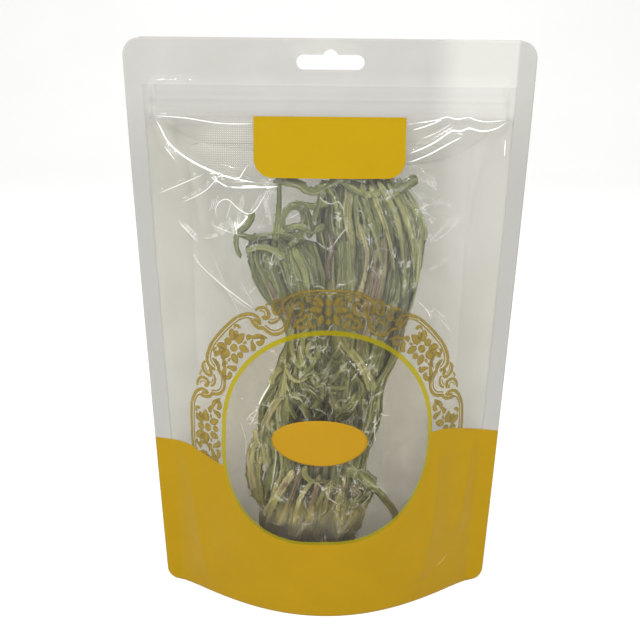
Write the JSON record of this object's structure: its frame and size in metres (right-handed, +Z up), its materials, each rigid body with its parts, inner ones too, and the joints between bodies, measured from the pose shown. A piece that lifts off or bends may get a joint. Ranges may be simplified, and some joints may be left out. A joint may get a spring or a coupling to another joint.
{
  "type": "pouch of dried celtuce",
  "caption": "Clear stand-up zip pouch with a hang slot, gold printed film and a folded base, holding a vacuum bag of dried celtuce stem strips.",
  "frame": {"origin": "centre of the pouch's base, on the surface it stands on", "axes": "+Z up to the header, +X to the right seen from the front, the printed front faces -Y"},
  "size_m": [0.1998, 0.0696, 0.3],
  "materials": {
    "clear_film": "clear glossy pouch film with a soft crinkle",
    "milky_film": "milky heat-sealed film with a fine mesh emboss",
    "gold_print": "satin gold ink on film",
    "zip_plastic": "clear moulded zip tape",
    "label_paper": "printed paper sticker",
    "bag_film": "thin clear vacuum bag, glossy and wrinkled",
    "dried_stem": "dried grey-green celtuce stem",
    "pale_stem": "dried olive and straw celtuce stem"
  },
  "bodies": {
    "root": {"front_panel": "clear_film", "back_panel": "milky_film", "base_gusset": "gold_print", "zip_rib_track": "zip_plastic", "zip_jaw_track": "zip_plastic", "oval_label": "label_paper", "inner_bag_front": "bag_film", "inner_bag_back": "bag_film", "left_hank": "dried_stem", "right_hank": "pale_stem"}
  },
  "joints": []
}
